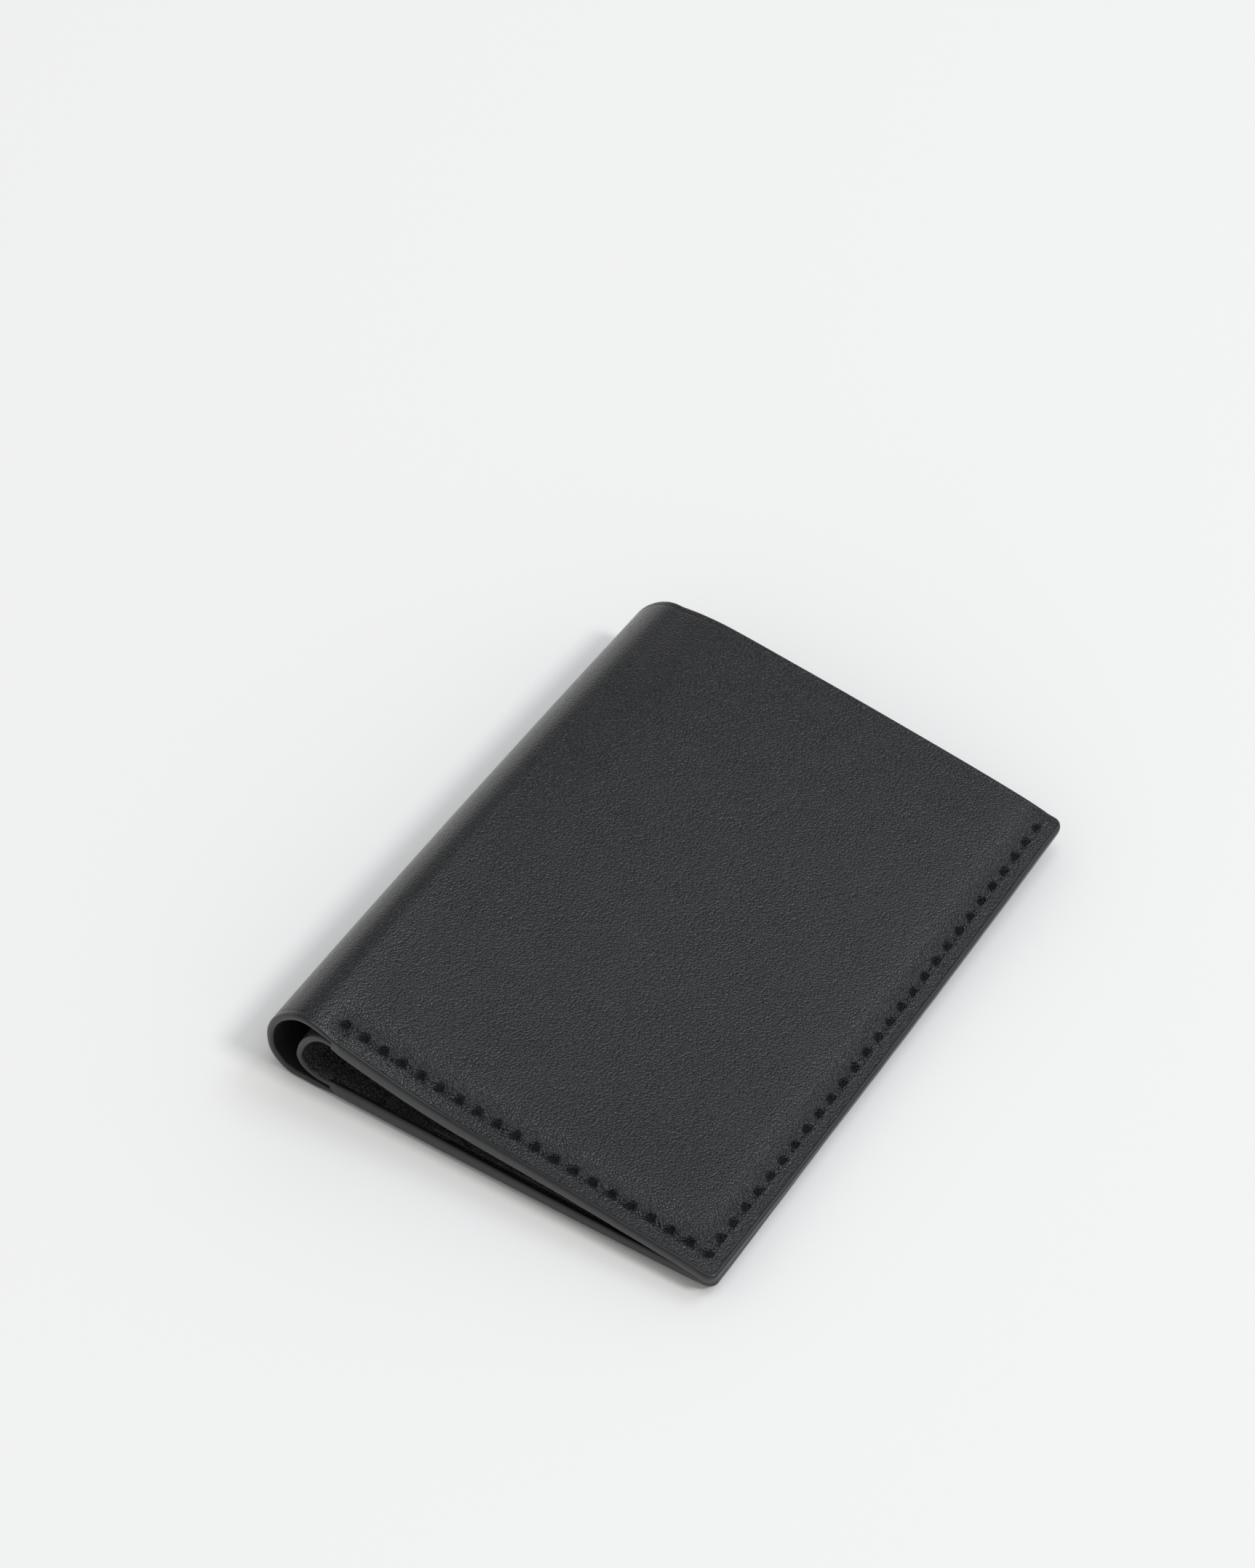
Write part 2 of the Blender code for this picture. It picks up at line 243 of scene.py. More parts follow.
def besideSeam(across, along, crown):
    # across is positive on the padded side, negative on the margin; the pad gives way at each hole
    near = (along - round(along)) * rowPitch
    edge = relief["edge"] + relief["scallop"] * hump(near, relief["bite"])
    flat = relief["margin"] - relief["rise"] * fade(-across, *relief["riseSpan"])
    past = max(0.0, across - edge)
    padded = relief["fall"] * math.exp(-max(0.0, across) / relief["fallLength"]) - crown
    padded -= relief["lip"] * math.exp(-past / relief["lipLength"])
    return flat + (padded - flat) * fade(across, edge - relief["stepOut"], edge + relief["stepIn"])


def stitchedRelief(along, across, side, count):
    inRun = fade(along, -relief["runOut"], 0.0) * fade(along, count + relief["runOut"], count)
    puff = -relief["puff"] * hump(across - relief["puffAt"], relief["puffWidth"])
    puff *= math.sin(math.pi * along) ** 2
    groove = relief["groove"] * hump(across + relief["grooveShift"], relief["grooveWidth"])
    hole = seam["hole"] * holeDip(along, across - seam["holeShift"], side)
    return inRun * (puff + groove + hole)


def creaseLine(v):
    # a line pressed into the leather just inside its cut ends
    return pressedLine["depth"] * hump(halfHeight - abs(v) - pressedLine["inset"], pressedLine["width"])


def shellUpper(u, v):
    row, column, alongRow, alongColumn = seamOffsets(u, v)
    rowFade = fade(u, seam["start"] - relief["rowFrom"], seam["start"] + relief["rowTo"])
    crown = relief["crown"] * fade(u, 0.0, relief["crownFold"])
    crown *= fade(v, halfHeight, halfHeight - relief["crownTop"])
    rowDepth = (1 - rowFade) * -crown + rowFade * besideSeam(row, alongRow, crown)
    deep = max(rowDepth, besideSeam(column, alongColumn, crown))
    near = 0.0
    if abs(row) < relief["band"]:
        near += stitchedRelief(alongRow, row, 1, seam["rowStitches"])
    if abs(column) < relief["band"] and v > seamV + relief["columnFrom"]:
        near += stitchedRelief(alongColumn, column, -1, seam["columnStitches"])
    patch = Vector((u / relief["sagU"], v / relief["sagV"], relief["sagSlice"]))
    sag = relief["sag"] * (1 + noise.noise(patch))
    crease = creaseLine(v) * (1 - rowFade if v < 0 else 1.0)
    return min(relief["deepest"], deep + near + sag * fade(u, -4, 6) + crease)


def shellLower(u, v):
    # the lining steps down where the board lies behind it
    near, far = innerFace["edge"]
    share = fade(u, *innerFace["fold"]) * fade(u, reach - near, reach - far)
    share *= fade(halfHeight - abs(v), near, far)
    return innerFace["upper"] + innerFace["overBoard"] * share


liner = {
    "thin": 0.5, "thick": 1.15, "skive": (8.5, 12.5), "pull": 0.08, "pullWidth": 0.5, "line": 0.5,
    "short": 0.3, "low": 0.15,
}


def linerUpper(u, v):
    return linerTop


def linerLower(u, v):
    thick = liner["thick"] + (liner["thin"] - liner["thick"]) * fade(u, *liner["skive"])
    stitched = liner["pull"] * hump(v - seamV, liner["pullWidth"])
    stitched *= fade(u, seam["start"] - 1, seam["start"] + 1)
    return linerTop + thick - stitched - liner["line"] * creaseLine(v)


# Sheets: a plan in u and v, given thickness and rounded edges

def thinned(points, gap):
    # drops points that crowd an earlier one
    kept, cells = [], {}
    for point in points:
        cell = (int(point[0] // gap), int(point[1] // gap))
        crowded = any(
            math.dist(point, other) < gap
            for i in (-1, 0, 1)
            for j in (-1, 0, 1)
            for other in cells.get((cell[0] + i, cell[1] + j), ())
        )
        if not crowded:
            kept.append(point)
            cells.setdefault(cell, []).append(point)
    return kept


def turnOutwards(mesh):
    shape = bmesh.new()
    shape.from_mesh(mesh)
    bmesh.ops.recalc_face_normals(shape, faces=shape.faces)
    shape.to_mesh(mesh)
    shape.free()


def smoothPiece(name, mesh, sharpest):
    # smooth, but for edges that turn by more than this many degrees
    mesh.shade_smooth()
    mesh.set_sharp_from_angle(angle=math.radians(sharpest))
    piece = bpy.data.objects.new(name, mesh)
    bpy.context.scene.collection.objects.link(piece)
    return piece


def sheetPiece(name, rim, inner, place, upper, lower, bulge, finishes, rings=7):
    # rim: ((u, v), (outward u, outward v)) in order; finishes: outer face, edge, inner face
    plan = [Vector(point) for point, _ in rim] + [Vector(point) for point in inner]
    count = len(rim)
    border = [(i, (i + 1) % count) for i in range(count)]
    points, _, triangles, origins, _, _ = delaunay_2d_cdt(plan, border, [], 1, 1e-5, True)
    outAt = {source: i for i, sources in enumerate(origins) for source in sources}
    total = len(points)
    vertices = [place(p.x, p.y, upper(p.x, p.y)) for p in points]
    vertices += [place(p.x, p.y, lower(p.x, p.y)) for p in points]
    flat = [(p.x, p.y) for p in points] * 2
    faces = [tuple(t) for t in triangles]
    marks = [0] * len(triangles) + [2] * len(triangles)
    faces += [tuple(total + i for i in reversed(t)) for t in triangles]
    loops = [[outAt[i] for i in range(count)]]
    for ring in range(1, rings):
        turn = math.pi * ring / rings
        loop = []
        for (u, v), (outU, outV) in rim:
            out = bulge * math.sin(turn) ** 0.8
            top, bottom = upper(u, v), lower(u, v)
            depth = top + (bottom - top) * (1 - math.cos(turn)) / 2
            loop.append(len(vertices))
            vertices.append(place(u + outU * out, v + outV * out, depth))
            flat.append((u, v))
        loops.append(loop)
    loops.append([total + outAt[i] for i in range(count)])
    for first, second in zip(loops, loops[1:]):
        for i, j in border:
            faces.append((first[i], second[i], second[j], first[j]))
            marks.append(1)
    mesh = bpy.data.meshes.new(name)
    mesh.from_pydata(vertices, [], faces)
    for finish in finishes:
        mesh.materials.append(finish)
    mesh.polygons.foreach_set("material_index", marks)
    turnOutwards(mesh)
    layout = mesh.uv_layers.new(name="sheet")
    for loop in mesh.loops:
        layout.data[loop.index].uv = flat[loop.vertex_index]
    for label, valueAt in (("strain", strainAt), ("hollow", hollowAt)):
        stored = mesh.attributes.new(label, "FLOAT", "POINT")
        values = [valueAt(*spot) for spot in flat[:total]] + [0.0] * (len(vertices) - total)
        stored.data.foreach_set("value", values)
    return smoothPiece(name, mesh, 50)


wrinkle = {
    "before": 2.5, "inside": 0.6, "width": 2.4, "first": 1.5, "firstU": 0.3, "firstV": 0.2, "firstWidth": 1.9,
    "marginFrom": -0.9, "marginShare": 0.35,
}


def strainAt(u, v):
    # how strongly the stitches wrinkle the leather here, most of all round the first one; this also places
    # the painted glints in the leather's colour
    row, column, _, _ = seamOffsets(u, v)
    inRow = fade(u, seam["start"] - wrinkle["before"], seam["start"])
    besideRow, besideColumn = (hump(across - wrinkle["inside"], wrinkle["width"]) for across in (row, column))
    beside = max(inRow * besideRow, besideColumn)
    away = math.hypot(u - seam["start"] - wrinkle["firstU"], row + wrinkle["firstV"])
    padded = min(row, column) > wrinkle["marginFrom"]
    return max(
        hump(away, wrinkle["firstWidth"]) * wrinkle["first"],
        beside if padded else wrinkle["marginShare"] * beside)


def hollowAt(u, v):
    # inside a stitch hole, where no light reaches
    row, column, alongRow, alongColumn = seamOffsets(u, v)
    darkest = 0.0
    for across, along, count, side in (
            (row, alongRow, seam["rowStitches"], 1), (column, alongColumn, seam["columnStitches"], -1)):
        if abs(across) < 2 and -0.3 < along < count + 0.3:
            darkest = max(darkest, holeDip(along, across - seam["holeShift"], side))
    return darkest


# Spacing of the points in the big sheets; bend is where the fold's close columns end
cover = {
    "corner": 1.6, "cornerSteps": 10, "edgeStep": 0.5, "foldStep": 0.32, "flatStep": 1.3, "rowStep": 1.4,
    "rowEnds": 4, "bend": 2.0, "seamBand": 4.4, "seamFrom": 2.5, "gap": 0.13, "inset": 0.05, "rimGap": 0.22,
    "holeGap": 0.16, "nextRows": [1.18, -1.1], "wideRows": [1.55, 2.0, 2.6, 3.4, 4.2, -1.6, -2.05],
    "holePoints": 20, "widePoints": 8, "shellBulge": 0.42, "linerBulge": 0.3,
}
creaseRows = [0.3, 0.6, 0.85, 1.0, 1.15, 1.3, 1.5, 1.9, 2.6]


def crossRows(half):
    # v of the points across a sheet: close together beside its ends, where the pressed line is
    ends = [half - d for d in creaseRows]
    middle = half - cover["rowEnds"]
    return sorted([-v for v in ends] + spread(-middle, middle, cover["rowStep"]) + ends)


def openEnd(right, low, high, radius, steps, step):
    # corner, open edge and corner: places, each with its outward direction
    places = []
    for centreV, start in ((low + radius, -math.pi / 2), (high - radius, 0.0)):
        for i in range(1, steps + 1):
            angle = start + i * math.pi / (2 * steps)
            out = (math.cos(angle), math.sin(angle))
            places.append(((right - radius + radius * out[0], centreV + radius * out[1]), out))
        if centreV < 0:
            places += [((right, v), (1.0, 0.0)) for v in spread(low + radius, high - radius, step)[1:]]
    return places


def coverRim(uCut, uEnd, half, bulge, corner):
    # round the sheet: bottom end, corner, open edge, corner, top end, and back along the cut
    radius = corner - bulge
    low, high, right = -half + bulge, half - bulge, uEnd - bulge
    rim = [((u, low), (0.0, -1.0)) for u in edgeColumns(uCut, right - radius)]
    rim += openEnd(right, low, high, radius, cover["cornerSteps"], cover["edgeStep"])
    rim += [((u, high), (0.0, 1.0)) for u in reversed(edgeColumns(uCut, right - radius)[:-1])]
    rows = [v for v in crossRows(half) if low + cover["inset"] < v < high - cover["inset"]]
    return rim + [((uCut, v), (0.0, 0.0)) for v in reversed(rows)]


def edgeColumns(uCut, uEnd):
    bend = min(uEnd, cover["bend"])
    columns = spread(uCut, bend, cover["foldStep"])
    if uEnd > bend:
        columns += spread(bend, uEnd, cover["edgeStep"])[1:]
    return columns


def coverInner(uCut, uEnd, half, bulge, corner, fine):
    # points inside the sheet; fine adds the rows that carry the stitch holes
    points = []
    seamFrom = seam["start"] - cover["seamFrom"]
    if fine:
        offsets = [cover["holeGap"] * i for i in range(-5, 7)] + cover["nextRows"]
        for across in offsets + cover["wideRows"]:
            step = rowPitch / cover["holePoints" if across in offsets else "widePoints"]
            points += [(u, seamV + across) for u in spread(seamFrom, seamU, step)]
            points += [(seamU - across, v) for v in spread(seamV, half - bulge - 0.3, step)]
    bend = cover["bend"]
    columns = spread(uCut + cover["foldStep"], bend, cover["foldStep"]) if uCut < bend else []
    columns += spread(max(uCut, bend) + 0.5, uEnd - bulge - 0.5, cover["flatStep"])
    for u in columns:
        for v in crossRows(half):
            row, column, _, _ = seamOffsets(u, v)
            banded = fine and (u > seamFrom and abs(row) < cover["seamBand"]
                               or abs(column) < cover["seamBand"])
            if not banded:
                points.append((u, v))
    return [p for p in thinned(points, cover["gap"]) if insideCover(p, uCut, uEnd, half, bulge, corner)]


def insideCover(point, uCut, uEnd, half, bulge, corner):
    margin = bulge + cover["rimGap"]
    u, v = point
    if u < uCut + 0.1 or u > uEnd - margin or abs(v) > half - margin:
        return False
    fromU, fromV = u - (uEnd - corner), abs(v) - (half - corner)
    return fromU < 0 or fromV < 0 or math.hypot(fromU, fromV) < corner - margin


def bendRim(uLow, uHigh, half, bulge):
    low, high = -half + bulge, half - bulge
    columns = spread(uLow, uHigh, cover["foldStep"])
    rows = [v for v in crossRows(half) if low + cover["inset"] < v < high - cover["inset"]]
    rim = [((u, low), (0.0, -1.0)) for u in columns]
    rim += [((uHigh, v), (0.0, 0.0)) for v in rows]
    rim += [((u, high), (0.0, 1.0)) for u in reversed(columns)]
    return rim + [((uLow, v), (0.0, 0.0)) for v in reversed(rows)]


def bendInner(uLow, uHigh, half, bulge):
    rows = [v for v in crossRows(half) if abs(v) < half - bulge - cover["inset"]]
    return [(u, v) for u in spread(uLow, uHigh, cover["foldStep"])[1:-1] for v in rows]


# Materials

class Maths:
    # an output socket that can stand in an expression
    def __init__(self, shader, socket):
        self.shader = shader
        self.socket = socket

    def step(self, operation, *values):
        return self.shader.value("ShaderNodeMath", {"operation": operation}, dict(enumerate(values)))

    def __add__(self, other):
        return self.step("ADD", self, other)

    def __radd__(self, other):
        return self.step("ADD", other, self)

    def __sub__(self, other):
        return self.step("SUBTRACT", self, other)

    def __rsub__(self, other):
        return self.step("SUBTRACT", other, self)

    def __mul__(self, other):
        return self.step("MULTIPLY", self, other)

    def __rmul__(self, other):
        return self.step("MULTIPLY", other, self)

    def __gt__(self, other):
        return self.step("GREATER_THAN", self, other)

    def __lt__(self, other):
        return self.step("LESS_THAN", self, other)


def addNode(tree, kind, settings=None, inputs=None):
    # settings are set first, then the value or the link of each socket
    made = tree.nodes.new(kind)
    for key, value in (settings or {}).items():
        setattr(made, key, value)
    for key, value in (inputs or {}).items():
        source = getattr(value, "socket", value)
        if isinstance(source, bpy.types.NodeSocket):
            tree.links.new(source, made.inputs[key])
        else:
            made.inputs[key].default_value = value
    return made


class Finish:
    # a material with one Principled surface
    def __init__(self, name, constants):
        self.material = bpy.data.materials.new(name)
        self.material.use_nodes = True
        self.tree = self.material.node_tree
        self.surface = self.tree.nodes["Principled BSDF"]
        for socket, value in constants.items():
            self.surface.inputs[socket].default_value = value

    def node(self, kind, settings=None, inputs=None):
        return addNode(self.tree, kind, settings, inputs)

    def value(self, kind, settings=None, inputs=None, output=0):
        return Maths(self, self.node(kind, settings, inputs).outputs[output])

    def place(self):
        return self.value("ShaderNodeTexCoord", output="Object")

    def cloud(self, scale, detail, distortion=0.0):
        inputs = {"Vector": self.place(), "Scale": scale, "Detail": detail, "Distortion": distortion}
        return self.value("ShaderNodeTexNoise", None, inputs)

    def mixed(self, share, first, second):
        # the colour is the mix's third output
        return self.value("ShaderNodeMix", {"data_type": "RGBA"}, {0: share, 6: first, 7: second}, 2)

    def feed(self, **links):
        for name, value in links.items():
            socket = {"colour": "Base Color", "roughness": "Roughness", "normal": "Normal"}[name]
            self.tree.links.new(value.socket, self.surface.inputs[socket])

    def bump(self, height, strength, distance):
        inputs = {"Height": height, "Strength": strength, "Distance": distance}
        return self.value("ShaderNodeBump", None, inputs)


def grey(level, tint=(1.0, 1.0, 1.0)):
    return (level * tint[0], level * tint[1], level * tint[2], 1.0)


leather = {
    "outer": {"level": 0.0060, "tint": (0.80, 0.95, 1.25), "roughness": 0.27, "grain": 1.2},
    # the inner leather's higher level is painted light: it stands in for the light that reaches inside the
    # wallet
    "inner": {"level": 0.0300, "tint": (0.94, 1.0, 1.06), "roughness": 0.42, "grain": 1.6},
    "pebble": 3000.0, "fine": 3300.0, "creases": 1500.0, "mottle": 160.0, "sparkleScale": 900.0,
    "dark": 0.2, "light": 2.6, "fineShare": 3.5, "mottleShare": 0.4, "middle": 0.45,
    # painted highlight: pale grey glints put into the base colour beside the seams
    "glint": 0.055, "glintFrom": 0.56, "glintShare": 7.0,
    # painted highlights: sparse pale specks in the base colour that stand in for grain facets catching the
    # light
    "sparklePick": 0.985, "sparkleSize": 0.13, "sparkleShare": 0.4, "sparkleLevel": 0.06,
    "mottleRough": 0.08, "fineRough": 0.12, "hollowRough": 0.7,
    "pebbleHigh": -2.2, "fineHigh": 0.5, "creaseHigh": 1.2, "calm": 0.3, "strained": 0.7, "depth": 0.00010,
}


def makeLeather(name, look):
    finish = Finish(name, {"Specular IOR Level": 0.5, "IOR": 1.48})
    place = finish.place()
    pebble = finish.value(
        "ShaderNodeTexVoronoi", {"feature": "F1"},
        {"Vector": place, "Scale": leather["pebble"], "Randomness": 1.0})
    fine = finish.cloud(leather["fine"], 3.0)
    creases = finish.cloud(leather["creases"], 4.0, 0.5)
    mottle = finish.cloud(leather["mottle"], 3.0)
    strain = finish.value("ShaderNodeAttribute", {"attribute_name": "strain"}, output="Fac")
    hollow = finish.value("ShaderNodeAttribute", {"attribute_name": "hollow"}, output="Fac")
    # painted highlights: sparse small pale spots mixed into the base colour stand in for grain facets that
    # glint
    spot = finish.node(
        "ShaderNodeTexVoronoi", {"feature": "F1"}, {"Vector": place, "Scale": leather["sparkleScale"]})
    pick = finish.value("ShaderNodeSeparateColor", None, {"Color": Maths(finish, spot.outputs["Color"])})
    paintedSparkle = (pick > leather["sparklePick"]) * (Maths(finish, spot.outputs["Distance"]) < leather["sparkleSize"])
    dark, light = (grey(look["level"] * leather[end], look["tint"]) for end in ("dark", "light"))
    share = (fine - 0.5) * leather["fineShare"] + (mottle - 0.5) * leather["mottleShare"] + leather["middle"]
    colour = finish.mixed(share, dark, light)
    # painted highlight: the base colour turns pale grey in spots beside the seams, standing in for glints
    # where the stitches wrinkle the leather
    glint = (fine - leather["glintFrom"]) * leather["glintShare"] * strain
    colour = finish.mixed(glint, colour, grey(leather["glint"], look["tint"]))
    colour = finish.mixed(paintedSparkle * leather["sparkleShare"], colour, grey(leather["sparkleLevel"]))
    grain = pebble * pebble * (leather["pebbleHigh"] * look["grain"]) + fine * leather["fineHigh"]
    height = grain * (leather["calm"] + leather["strained"] * strain)
    height = height + creases * (leather["creaseHigh"] * strain)
    uneven = leather["mottleRough"] * (mottle - 0.5) + leather["fineRough"] * (fine - 0.5)
    # painted shade: the base colour goes black inside the stitch holes
    finish.feed(
        colour=finish.mixed(hollow, colour, grey(0.0)),
        roughness=look["roughness"] + uneven + leather["hollowRough"] * hollow,
        normal=finish.bump(height, 1.0, leather["depth"]))
    return finish.material


edgeCoat = {
    "cloud": 700.0, "grit": 5200.0, "cloudHigh": 0.8, "gritHigh": 0.25, "levels": (0.006, 0.012),
    "tint": (0.90, 1.0, 1.15), "roughness": 0.26, "cloudRough": 0.14, "bump": (0.35, 0.00005),
}


def makeEdgePaint():
    finish = Finish("edgePaint", {"Specular IOR Level": 0.5})
    cloud, grit = finish.cloud(edgeCoat["cloud"], 2.0), finish.cloud(edgeCoat["grit"], 1.0)
    finish.feed(
        colour=finish.mixed(cloud, *(grey(level, edgeCoat["tint"]) for level in edgeCoat["levels"])),
        roughness=edgeCoat["roughness"] + edgeCoat["cloudRough"] * cloud,
        normal=finish.bump(cloud * edgeCoat["cloudHigh"] + grit * edgeCoat["gritHigh"], *edgeCoat["bump"]))
    return finish.material


cloth = {
    "pitch": 0.42, "levels": (0.004, 0.012), "roughness": 0.82, "weaveRough": 0.06, "bump": (0.5, 0.00004),
}


def makeLining():
    finish = Finish("liningCloth", {"Specular IOR Level": 0.3})
    sheet = finish.node("ShaderNodeUVMap", {"uv_map": "sheet"})
    parts = finish.node("ShaderNodeSeparateXYZ", None, {"Vector": Maths(finish, sheet.outputs["UV"])})
    turns = 2 * math.pi / cloth["pitch"]
    warp, weft = (Maths(finish, parts.outputs[axis]) * turns for axis in ("X", "Y"))
    weave = warp.step("SINE", warp) * weft.step("SINE", weft)
    finish.feed(
        colour=finish.mixed(weave * 0.5 + 0.5, *(grey(level) for level in cloth["levels"])),
        roughness=cloth["roughness"] + weave * cloth["weaveRough"],
        normal=finish.bump(weave, *cloth["bump"]))
    return finish.material


fibres = {
    "waxedThread": {
        "shine": 0.4, "scale": 6000.0, "detail": 2.0, "colours": (grey(0.002), grey(0.008)),
        "roughness": 0.42, "fibreRough": 0.2, "bump": (0.4, 0.00003),
    },
    "greyBoard": {
        "shine": 0.5, "scale": 1800.0, "detail": 4.0,
        "colours": ((0.12, 0.10, 0.085, 1), (0.20, 0.18, 0.15, 1)),
        "roughness": 0.8, "fibreRough": 0.15, "bump": (0.5, 0.00008),
    },
}


def makeFibres(name):
    look = fibres[name]
    finish = Finish(name, {"Specular IOR Level": look["shine"]})
    fibre = finish.cloud(look["scale"], look["detail"])
    finish.feed(
        colour=finish.mixed(fibre, *look["colours"]),
        roughness=look["roughness"] + look["fibreRough"] * fibre,
        normal=finish.bump(fibre, *look["bump"]))
    return finish.material


outerLeather = makeLeather("blackLeather", leather["outer"])
innerLeather = makeLeather("innerLeather", leather["inner"])
edgePaint = makeEdgePaint()
liningCloth = makeLining()
waxedThread, greyBoard = makeFibres("waxedThread"), makeFibres("greyBoard")
print("materials made")


# Outer leather and liner: two covers that run into the fold, and two strips between them

def bendWith(piece, layer, number):
    # from the middle of one strip to the middle of the next, across one hinge line
    depth = layer["centre"].y - layer["radius"]
    start, end = (layerPoint(layer, "back", cutAt(layer, cut), 0.0, depth) for cut in (number - 1, number))
    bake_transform(piece)
    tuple(start)
    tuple(end)


def makeLayerPieces(prefix, layer, upper, lower, bulge, uEnd, half, fine, finishes, nodes):
    for side, number in (("back", 1), ("front", 4)):
        uCut = cutAt(layer, 1)
        piece = sheetPiece(
            f"{side}_{prefix}_leather",
            coverRim(uCut, uEnd, half, bulge, cover["corner"]),
            coverInner(uCut, uEnd, half, bulge, cover["corner"], fine),
            lambda u, v, depth: layerPoint(layer, side, u, v, depth),
            upper, lower, bulge, finishes)
        bendWith(piece, layer, number)
        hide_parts(*[f"{side}_{node}" for node in nodes])
    for number in (2, 3):
        uLow, uHigh = cutAt(layer, number), cutAt(layer, number - 1)
        piece = sheetPiece(
            f"fold_{prefix}_leather_{number}",
            bendRim(uLow, uHigh, half, bulge),
            bendInner(uLow, uHigh, half, bulge),
            lambda u, v, depth: layerPoint(layer, "back", u, v, depth),
            upper, lower, bulge, finishes)
        bendWith(piece, layer, number)
        strips = [f"{prefix}_spine_{n}" for n in ((1, 2) if number == 2 else (3,))]
        if prefix == "shell":
            strips += [strip.replace("shell", "lining") for strip in strips]
        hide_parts(*strips)


makeLayerPieces(
    "shell", shellLayer, shellUpper, shellLower, cover["shellBulge"], reach, halfHeight, True,
    [outerLeather, edgePaint, liningCloth], ["shell", "shell_lining"])
makeLayerPieces(
    "liner", linerLayer, linerUpper, linerLower, cover["linerBulge"],
    reach - liner["short"], halfHeight - liner["low"], False,
    [innerLeather, edgePaint, innerLeather], ["liner"])
print("outer leather and liner made")


# Painted edge over both leathers, along the bottom end, up the open edge and just round the top corner

paint = {
    "start": 3.9, "topEnd": reach - 4.6, "in": 0.72, "out": 0.06, "steps": 0.5, "cornerSteps": 14,
    "proud": 0.09, "taper": 1.6, "sinkDepth": 0.12, "sinkOut": 0.15, "middle": 0.55, "groove": 0.10,
    "thickness": [(0, 3.0), (8, 3.25), (25, 3.1), (45, 2.75), (68, 2.40)], "upperThickness": 2.40,
    "levelFrom": 0.9, "waver": 0.03, "waverLength": 4, "waverSlice": 9.7,
}


def edgePath():
    # places along the painted edge, each with its outward direction
    corner = cover["corner"]
    bottom = spread(paint["start"], reach - corner, paint["steps"])
    path = [((u, -halfHeight), (0.0, -1.0)) for u in bottom]
    path += openEnd(reach, -halfHeight, halfHeight, corner, paint["cornerSteps"], paint["steps"])
    far = spread(reach - corner, paint["topEnd"], paint["steps"])[1:]
    return path + [((u, halfHeight), (0.0, 1.0)) for u in far]


def edgeProfile(top, bottom, grooveDepth, share):
    # (outward, depth) round the painted edge; share sinks it into the leather at its ends
    wide = bottom - top
    middle = top + paint["middle"] * wide
    proud = paint["proud"] * share - paint["sinkDepth"] * (1 - share)
    out = paint["out"] * share - paint["sinkOut"] * (1 - share)
    return [
        (-paint["in"], top + 0.3), (-paint["in"] + 0.03, top + 0.04 - proud * 0.6),
        (-paint["in"] + 0.16, top - proud), (-0.38, top - proud), (-0.22, top - proud + 0.05),
        (-0.08, top + 0.16), (out - 0.03, top + 0.34), (out, top + 0.6),
        (out - 0.01, middle - 0.18), (out - grooveDepth, middle), (out - 0.01, middle + 0.18),
        (out - 0.02, bottom - 0.5), (out - 0.08, bottom - 0.24), (-0.2, bottom - 0.05),
        (-0.42, bottom + 0.02), (-paint["in"], bottom - 0.02), (-paint["in"] - 0.05, bottom - 0.3),
    ]


def makePaintedEdge(side):
    path = edgePath()
    vertices, faces, lengths = [], [], [0.0]
    for (a, _), (b, _) in zip(path, path[1:]):
        lengths.append(lengths[-1] + math.dist(a, b))
    for ((u, v), (outU, outV)), run in zip(path, lengths):
        share = fade(run, 0.0, paint["taper"]) * fade(lengths[-1] - run, 0.0, paint["taper"])
        top = shellUpper(u - outU * paint["levelFrom"], v - outV * paint["levelFrom"])
        bottom = through(paint["thickness"], u) if v < 0 else paint["upperThickness"]
        groove = paint["groove"] * fade(outU, 0.3, 1.0)
        spot = Vector((u / paint["waverLength"], v / paint["waverLength"], paint["waverSlice"]))
        waver = paint["waver"] * noise.noise(spot)
        profile = edgeProfile(top, bottom, groove, share)
        count = len(profile)
        for out, depth in profile:
            reachOut = out + waver
            vertices.append(coverPoint(side, u + outU * reachOut, v + outV * reachOut, depth))
    for i in range(len(path) - 1):
        for j in range(count):
            k = (j + 1) % count
            faces.append((i * count + j, i * count + k, (i + 1) * count + k, (i + 1) * count + j))
    faces.append(tuple(range(count)))
    faces.append(tuple(reversed(range((len(path) - 1) * count, len(path) * count))))
    name = f"{side}_painted_edge"
    mesh = bpy.data.meshes.new(name)
    mesh.from_pydata(vertices, [], faces)
    mesh.materials.append(edgePaint)
    turnOutwards(mesh)
    piece = smoothPiece(name, mesh, 70)
    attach(piece, f"{side}_cover")


for side in ("back", "front"):
    makePaintedEdge(side)
print("painted edges made")


# Card pockets

pocket = {
    "inner": {
        "lip": 13.0, "strip": 11.0, "end": 57.0, "inset": 1.0, "neck": 6.5, "upper": 2.33, "thick": 0.4,
    },
    "outer": {
        "lip": 22.0, "end": reach - 1.4, "inset": 1.4, "upper": 2.80, "low": 2.34, "thick": 0.42,
        "corner": 2.2, "cornerSteps": 8, "cornerGap": 2.4, "step": (58.0, 66.5), "stepEnds": (8.0, 4.0),
        "endsFrom": (24.5, 28.0), "swell": 0.10, "swellU": 17, "swellV": 21, "swellSlice": 7.7,
    },
    "bulge": 0.16, "lineFromLip": 1.7, "lineDepth": 0.07, "lineWidth": 0.22, "rings": 5, "edgeStep": 0.8,
    "lipColumns": (0.5, 1.0, 1.35, 1.55, 1.7, 1.85, 2.05, 2.5, 3.2), "rest": 4.2, "step": 1.2,
}


